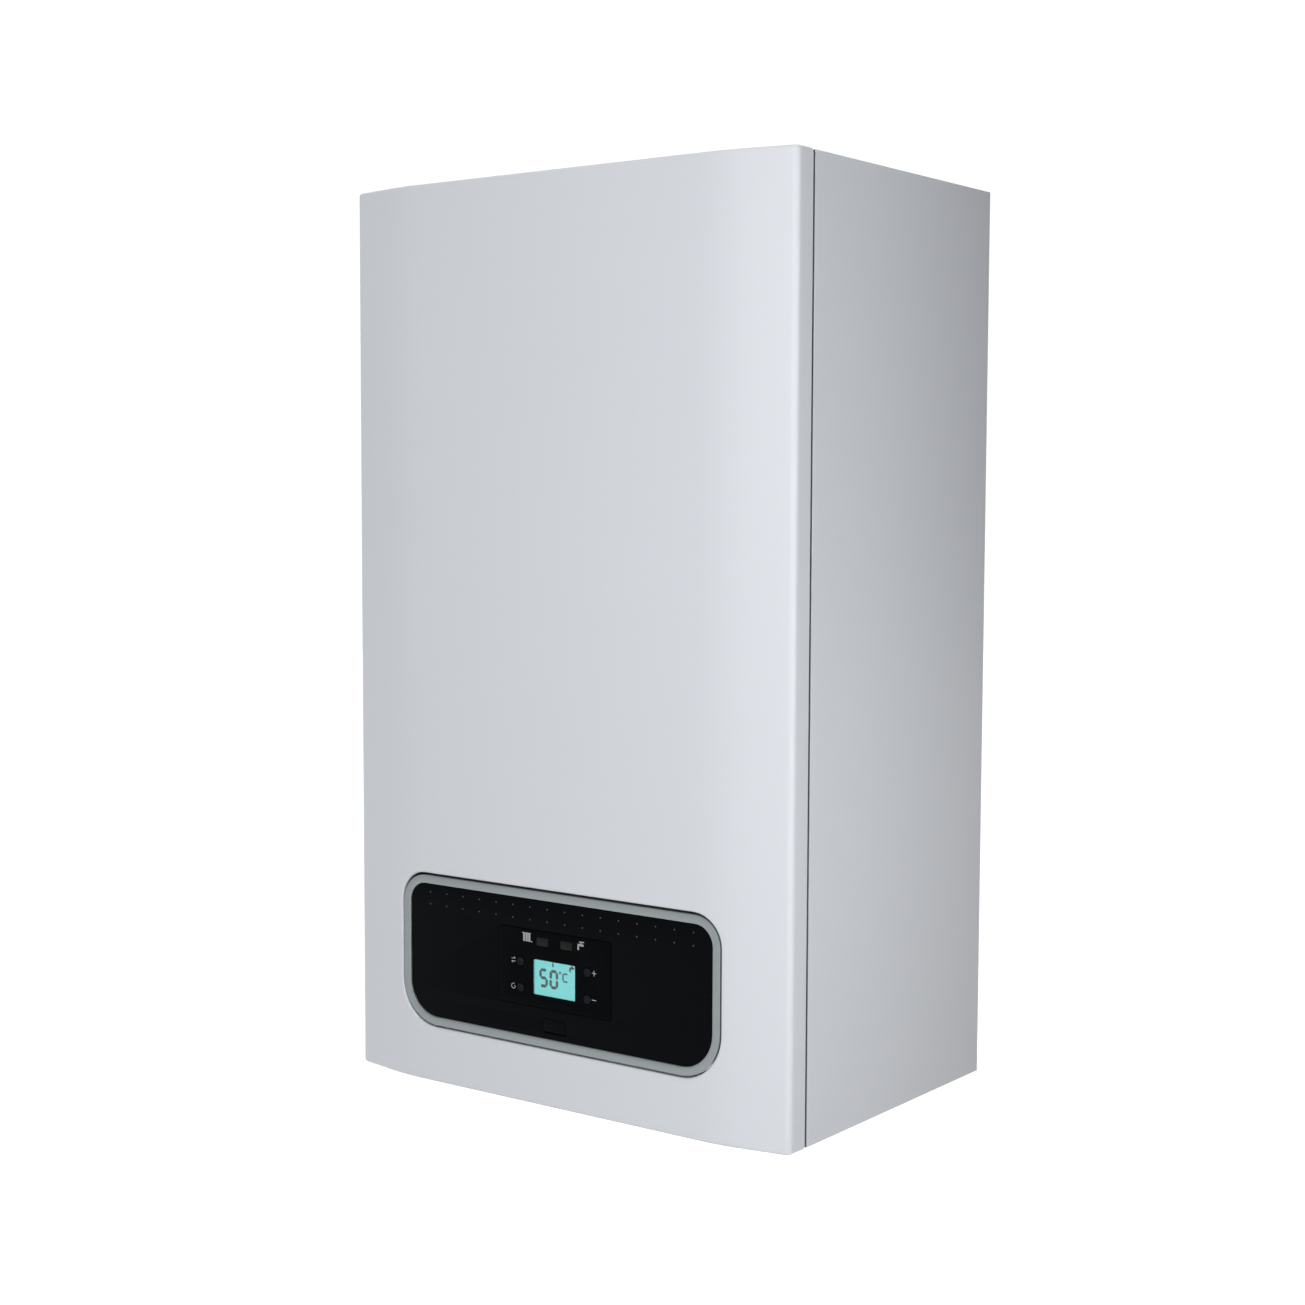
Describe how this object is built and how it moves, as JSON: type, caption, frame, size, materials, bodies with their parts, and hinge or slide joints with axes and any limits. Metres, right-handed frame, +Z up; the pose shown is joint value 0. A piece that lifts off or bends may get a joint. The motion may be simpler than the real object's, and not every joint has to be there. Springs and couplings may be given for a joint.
{
  "type": "wall-hung combi boiler",
  "caption": "Wall-hung combi boiler: bowed white cover on a steel case, recessed black control panel with lit display, burner and water circuit inside.",
  "frame": {"origin": "middle of the wall bracket's rear face, which lies on the wall", "axes": "+Y into the wall, so the front faces -Y; +Z up; +X to the right for someone facing the boiler"},
  "size_m": [0.41, 0.2848, 0.704],
  "materials": {
    "white_paint": "fine powder coat, satin",
    "galvanised": "galvanised sheet",
    "silver_plastic": "silver painted, satin",
    "black_plastic": "black, half gloss",
    "gloss_black": "black, high gloss",
    "dark_plastic": "dark grey, fine grain",
    "grey_plastic": "mid grey, moulded",
    "blue_plastic": "blue, moulded",
    "red_plastic": "red, moulded",
    "display_glass": "clear, lit from behind",
    "circuit_board": "green solder mask",
    "light_pipe": "clear moulding",
    "foam": "open foam, matte",
    "soft_rubber": "black rubber",
    "red_paint": "red paint, satin",
    "stainless": "drawn stainless steel",
    "cast_aluminium": "as cast",
    "ceramic": "white glazed ceramic",
    "copper": "drawn copper tube",
    "brass": "machined brass",
    "cast_iron": "black coated casting"
  },
  "bodies": {
    "chassis": {"wall_bracket": "galvanised", "back_frame": "galvanised", "left_side_panel": "white_paint", "right_side_panel": "white_paint", "top_panel": "white_paint", "bottom_tray": "galvanised", "cover_seal": "soft_rubber", "exchanger_bracket": "galvanised", "cable_gland": "dark_plastic", "heat_exchanger_shell": "stainless", "heat_exchanger_coil": "stainless", "burner_door": "cast_aluminium", "burner": "stainless", "ignition_electrode": "ceramic", "ignition_unit": "dark_plastic", "fan_housing": "cast_aluminium", "fan_motor": "dark_plastic", "gas_mixer": "cast_aluminium", "premix_duct": "cast_aluminium", "air_intake_duct": "dark_plastic", "gas_valve": "cast_aluminium", "gas_link_pipe": "brass", "gas_pipe": "copper", "flue_spigot": "stainless", "flue_collar": "dark_plastic", "expansion_vessel": "red_paint", "vessel_pipe": "copper", "plate_heat_exchanger": "stainless", "flow_manifold": "brass", "return_manifold": "brass", "diverter_motor": "dark_plastic", "pressure_sensor": "dark_plastic", "pump_body": "cast_iron", "pump_motor": "dark_plastic", "flow_pipe": "copper", "return_pipe": "copper", "condensate_pipe": "grey_plastic", "condensate_trap": "grey_plastic"},
    "cover": {"front_cover": "white_paint", "cover_foam_pad": "foam"},
    "control_box": {"control_housing": "dark_plastic", "control_fascia": "black_plastic", "fascia_rim": "silver_plastic", "control_overlay": "gloss_black", "lcd_module": "grey_plastic", "lcd_lens": "display_glass", "control_pcb": "circuit_board", "indicator_light_guide": "light_pipe"},
    "mode_button": {"mode_button": "grey_plastic"},
    "reset_button": {"reset_button": "grey_plastic"},
    "plus_button": {"plus_button": "grey_plastic"},
    "minus_button": {"minus_button": "grey_plastic"},
    "port_flap": {"service_port_flap": "black_plastic"},
    "fan_rotor": {"fan_impeller": "dark_plastic"},
    "pump_rotor": {"pump_impeller": "grey_plastic"},
    "diverter_spindle": {"diverter_spindle": "stainless"},
    "relief_knob": {"safety_valve_knob": "red_plastic"},
    "fill_knob": {"fill_tap_knob": "blue_plastic"},
    "drain_knob": {"drain_cock_knob": "dark_plastic"},
    "vent_cap": {"air_vent_cap": "black_plastic"}
  },
  "joints": [
    {"name": "cover_pull", "type": "slide", "parent": "chassis", "child": "cover", "axis": [0, -1, 0], "range_m": [0, 0.3]},
    {"name": "control_box_fold", "type": "hinge", "parent": "chassis", "child": "control_box", "pos_m": [0, -0.262, -0.596], "axis": [1, 0, 0], "range_deg": [0, 85]},
    {"name": "mode_press", "type": "slide", "parent": "control_box", "child": "mode_button", "axis": [0, 1, 0], "range_m": [0, 0.0012], "stiffness_N_per_m": 1200, "springref_m": -0.0008},
    {"name": "reset_press", "type": "slide", "parent": "control_box", "child": "reset_button", "axis": [0, 1, 0], "range_m": [0, 0.0012], "stiffness_N_per_m": 1200, "springref_m": -0.0008},
    {"name": "plus_press", "type": "slide", "parent": "control_box", "child": "plus_button", "axis": [0, 1, 0], "range_m": [0, 0.0012], "stiffness_N_per_m": 1200, "springref_m": -0.0008},
    {"name": "minus_press", "type": "slide", "parent": "control_box", "child": "minus_button", "axis": [0, 1, 0], "range_m": [0, 0.0012], "stiffness_N_per_m": 1200, "springref_m": -0.0008},
    {"name": "service_flap_open", "type": "hinge", "parent": "control_box", "child": "port_flap", "pos_m": [0, -0.2805, -0.5826], "axis": [1, 0, 0], "range_deg": [0, 95]},
    {"name": "fan_spin", "type": "hinge", "parent": "chassis", "child": "fan_rotor", "pos_m": [-0.085, -0.15, -0.305], "axis": [0, 1, 0], "continuous": true},
    {"name": "pump_spin", "type": "hinge", "parent": "chassis", "child": "pump_rotor", "pos_m": [0.125, -0.11, -0.432], "axis": [0, 1, 0], "continuous": true},
    {"name": "diverter_shift", "type": "slide", "parent": "chassis", "child": "diverter_spindle", "axis": [0, -1, 0], "range_m": [0, 0.006]},
    {"name": "relief_knob_turn", "type": "hinge", "parent": "chassis", "child": "relief_knob", "pos_m": [-0.13, -0.17, -0.578], "axis": [0, 1, 0], "range_deg": [0, 90]},
    {"name": "fill_tap_turn", "type": "hinge", "parent": "chassis", "child": "fill_knob", "pos_m": [0.0975, -0.115, -0.624], "axis": [0, 0, 1], "range_deg": [0, 270]},
    {"name": "drain_cock_turn", "type": "hinge", "parent": "chassis", "child": "drain_knob", "pos_m": [0.13, -0.15, -0.59], "axis": [0, 1, 0], "range_deg": [0, 180]},
    {"name": "air_vent_turn", "type": "hinge", "parent": "chassis", "child": "vent_cap", "pos_m": [0.098, -0.1, -0.335], "axis": [0, 0, 1], "range_deg": [0, 270]}
  ],
  "couplings": [
    {"joint": "control_box_fold", "follows": "cover_pull", "rad_per_m": 4.945}
  ]
}
